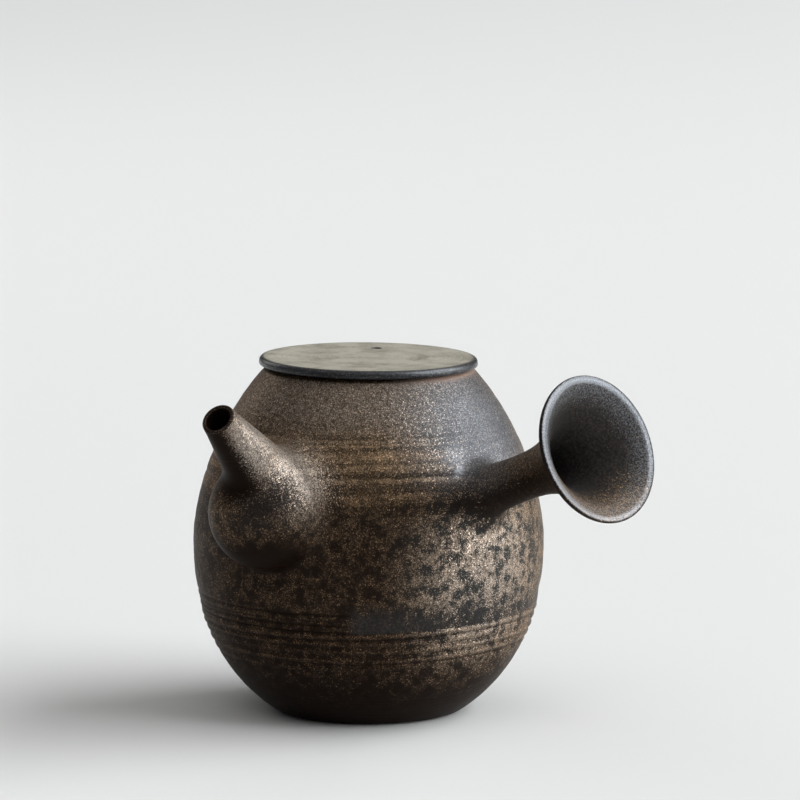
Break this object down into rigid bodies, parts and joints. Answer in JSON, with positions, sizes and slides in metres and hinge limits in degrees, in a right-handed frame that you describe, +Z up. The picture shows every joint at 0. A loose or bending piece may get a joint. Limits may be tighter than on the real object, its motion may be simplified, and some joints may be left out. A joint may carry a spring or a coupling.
{
  "type": "side handle teapot",
  "caption": "Small round stoneware teapot with a short upturned spout, a hollow trumpet handle at its side and a flat lift-off lid.",
  "frame": {"origin": "middle of the flat foot, on the surface that the pot stands on", "axes": "+Z up along the pot's turning axis, +X out along the handle; the spout points about 77 degrees clockwise from the handle seen from above"},
  "size_m": [0.1101, 0.0943, 0.0775],
  "materials": {
    "pot_glaze": "dark iron glaze with a bronze speckle, satin and slightly metallic",
    "lid_glaze": "grey olive iron glaze, satin, slightly metallic",
    "bare_clay": "dark brown fired clay, matt"
  },
  "bodies": {
    "pot": {"pot_body": "pot_glaze", "spout": "pot_glaze", "spout_join": "pot_glaze", "strainer": "bare_clay", "handle": "pot_glaze", "handle_join": "pot_glaze"},
    "lid": {"lid_plate": "lid_glaze", "lid_flange": "bare_clay"}
  },
  "joints": [
    {"name": "lid_lift", "type": "slide", "parent": "pot", "child": "lid", "axis": [0, 0, 1], "range_m": [0, 0.05]}
  ]
}
